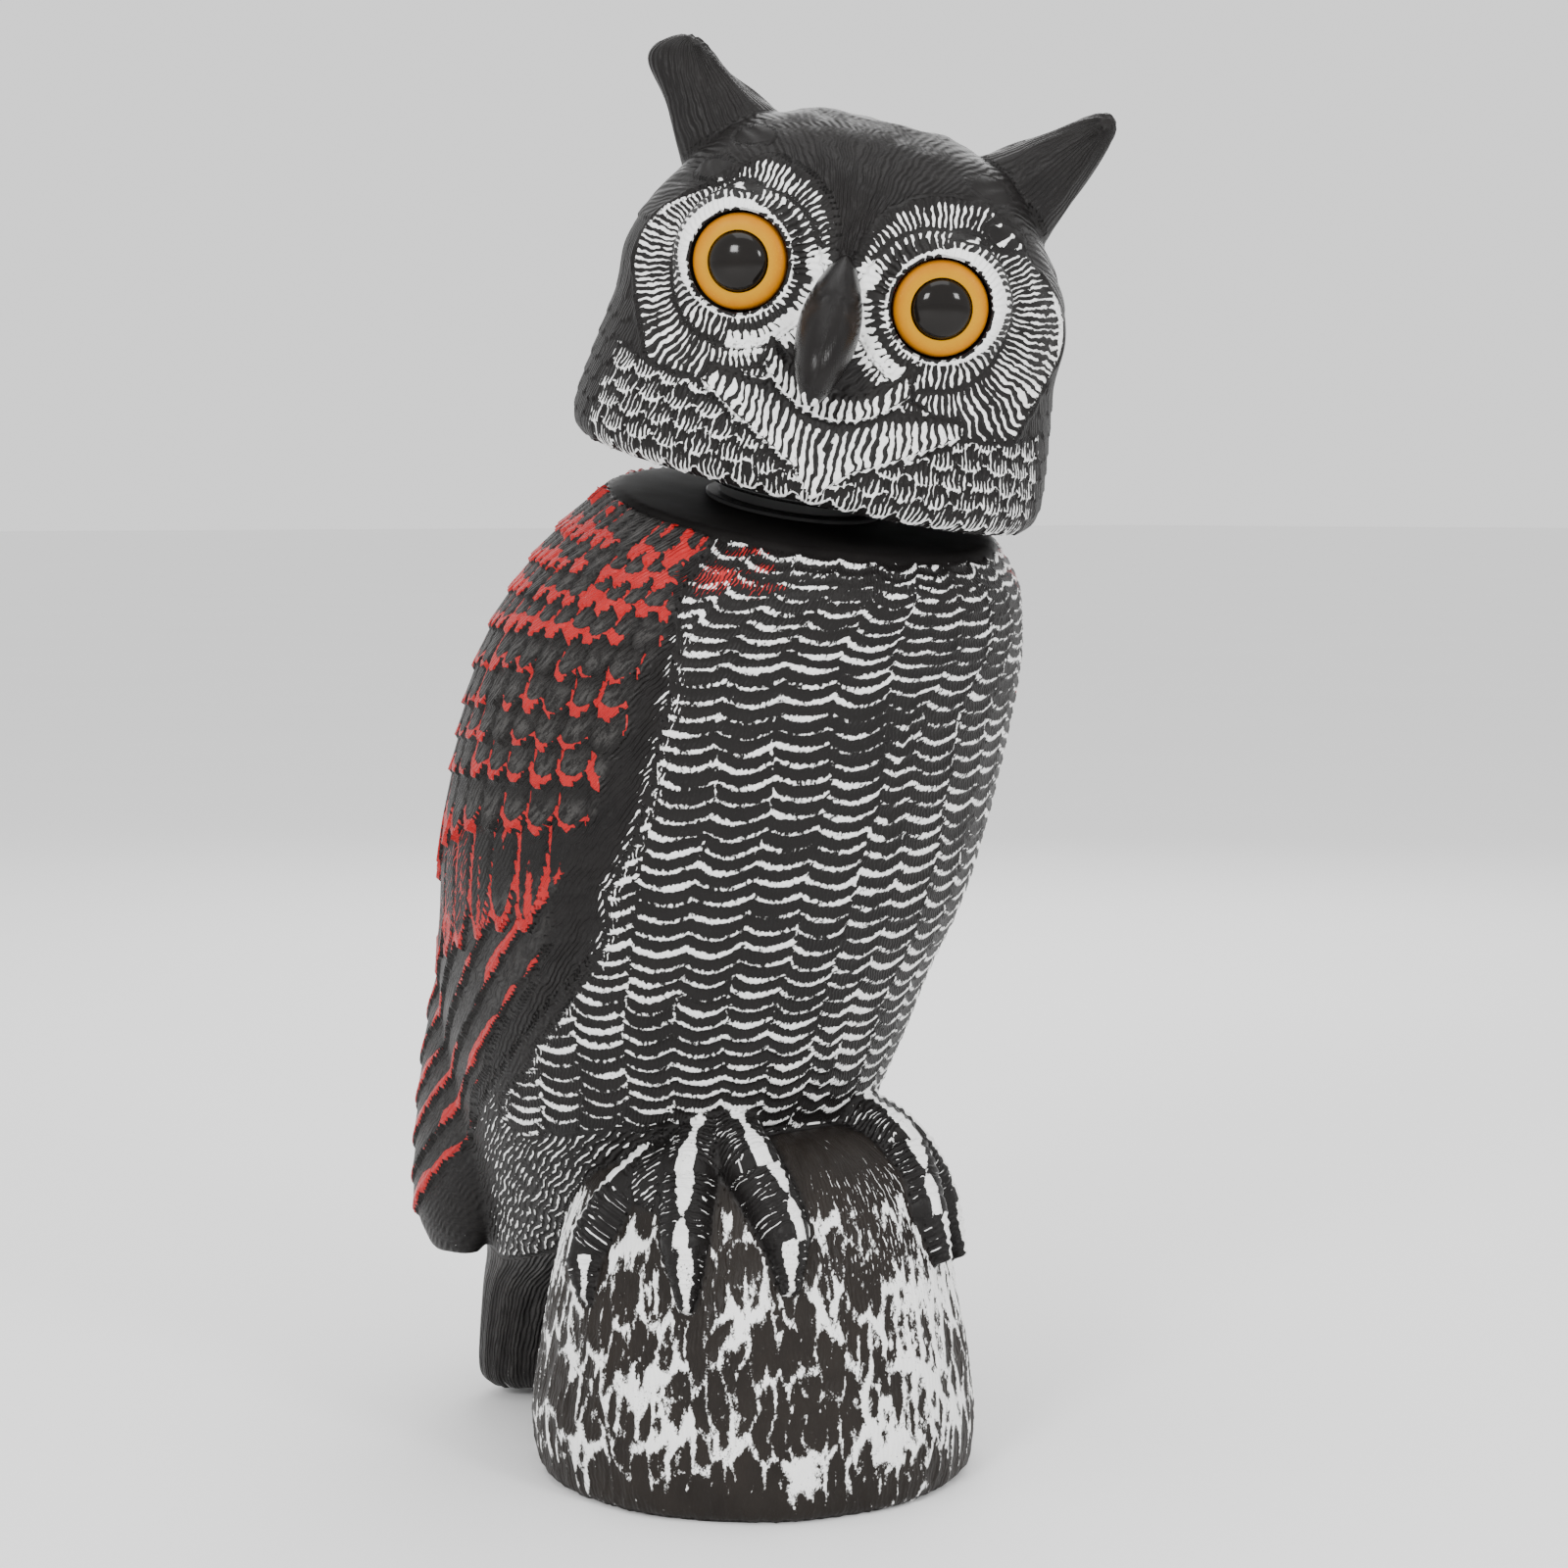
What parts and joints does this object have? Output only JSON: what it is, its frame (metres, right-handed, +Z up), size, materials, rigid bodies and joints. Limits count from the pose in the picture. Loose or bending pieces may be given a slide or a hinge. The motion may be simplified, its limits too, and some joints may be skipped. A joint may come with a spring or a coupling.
{
  "type": "owl decoy",
  "caption": "Moulded plastic horned-owl decoy on a rock base, with a head that turns and bobs on a neck spring to scare birds.",
  "frame": {"origin": "centre of the rock base's flat underside", "axes": "+Z up; the owl's chest faces -Y and its right side is -X; the head rests turned to its right"},
  "size_m": [0.162, 0.2109, 0.4094],
  "materials": {
    "moulded_body": "satin",
    "moulded_head": "satin",
    "seat": "satin",
    "nylon": "satin",
    "plug": "matte",
    "zinc_steel": "satin",
    "spring_wire": "gloss",
    "iris": "satin",
    "pupil": "gloss"
  },
  "bodies": {
    "body": {"body_shell": "moulded_body", "pivot_bush": "nylon", "pivot_screw": "zinc_steel", "pivot_washer": "zinc_steel"},
    "plug": {"fill_plug": "plug"},
    "turntable": {"lower_spring_seat": "seat", "neck_spring_turns_1": "spring_wire"},
    "neck_bend": {"neck_spring_turns_2": "spring_wire"},
    "neck_lean": {"neck_spring_turns_3": "spring_wire"},
    "head": {"neck_spring_turns_4": "spring_wire", "upper_spring_seat": "seat", "seat_screw_1": "zinc_steel", "seat_screw_2": "zinc_steel", "seat_screw_3": "zinc_steel", "head_shell": "moulded_head", "eye_iris_left": "iris", "eye_iris_right": "iris", "eye_pupil_left": "pupil", "eye_pupil_right": "pupil"}
  },
  "joints": [
    {"name": "plug_pull", "type": "slide", "parent": "body", "child": "plug", "axis": [0, 0, -1], "range_m": [0, 0.02]},
    {"name": "head_spin", "type": "hinge", "parent": "body", "child": "turntable", "pos_m": [0, -0.0179, 0.276], "axis": [0, -0.236, 0.9718], "continuous": true},
    {"name": "head_nod", "type": "hinge", "parent": "turntable", "child": "neck_bend", "pos_m": [0, -0.02203, 0.29301], "axis": [0.7347, -0.6386, -0.2289], "range_deg": [-4, 7], "stiffness_Nm_per_rad": 0.45, "springref_deg": -2.14, "deforming": ["neck_spring_turns_1", "neck_spring_turns_2"]},
    {"name": "head_sway", "type": "hinge", "parent": "neck_bend", "child": "neck_lean", "pos_m": [0, -0.02203, 0.29301], "axis": [0.6711, 0.7336, 0.1071], "range_deg": [-8, 3], "stiffness_Nm_per_rad": 0.45, "springref_deg": -2.82, "deforming": ["neck_spring_turns_3"]},
    {"name": "head_bob", "type": "slide", "parent": "neck_lean", "child": "head", "axis": [0.0995, -0.2323, 0.9675], "range_m": [-0.002, 0.008], "stiffness_N_per_m": 450, "springref_m": 0.00464, "deforming": ["neck_spring_turns_4"]}
  ]
}
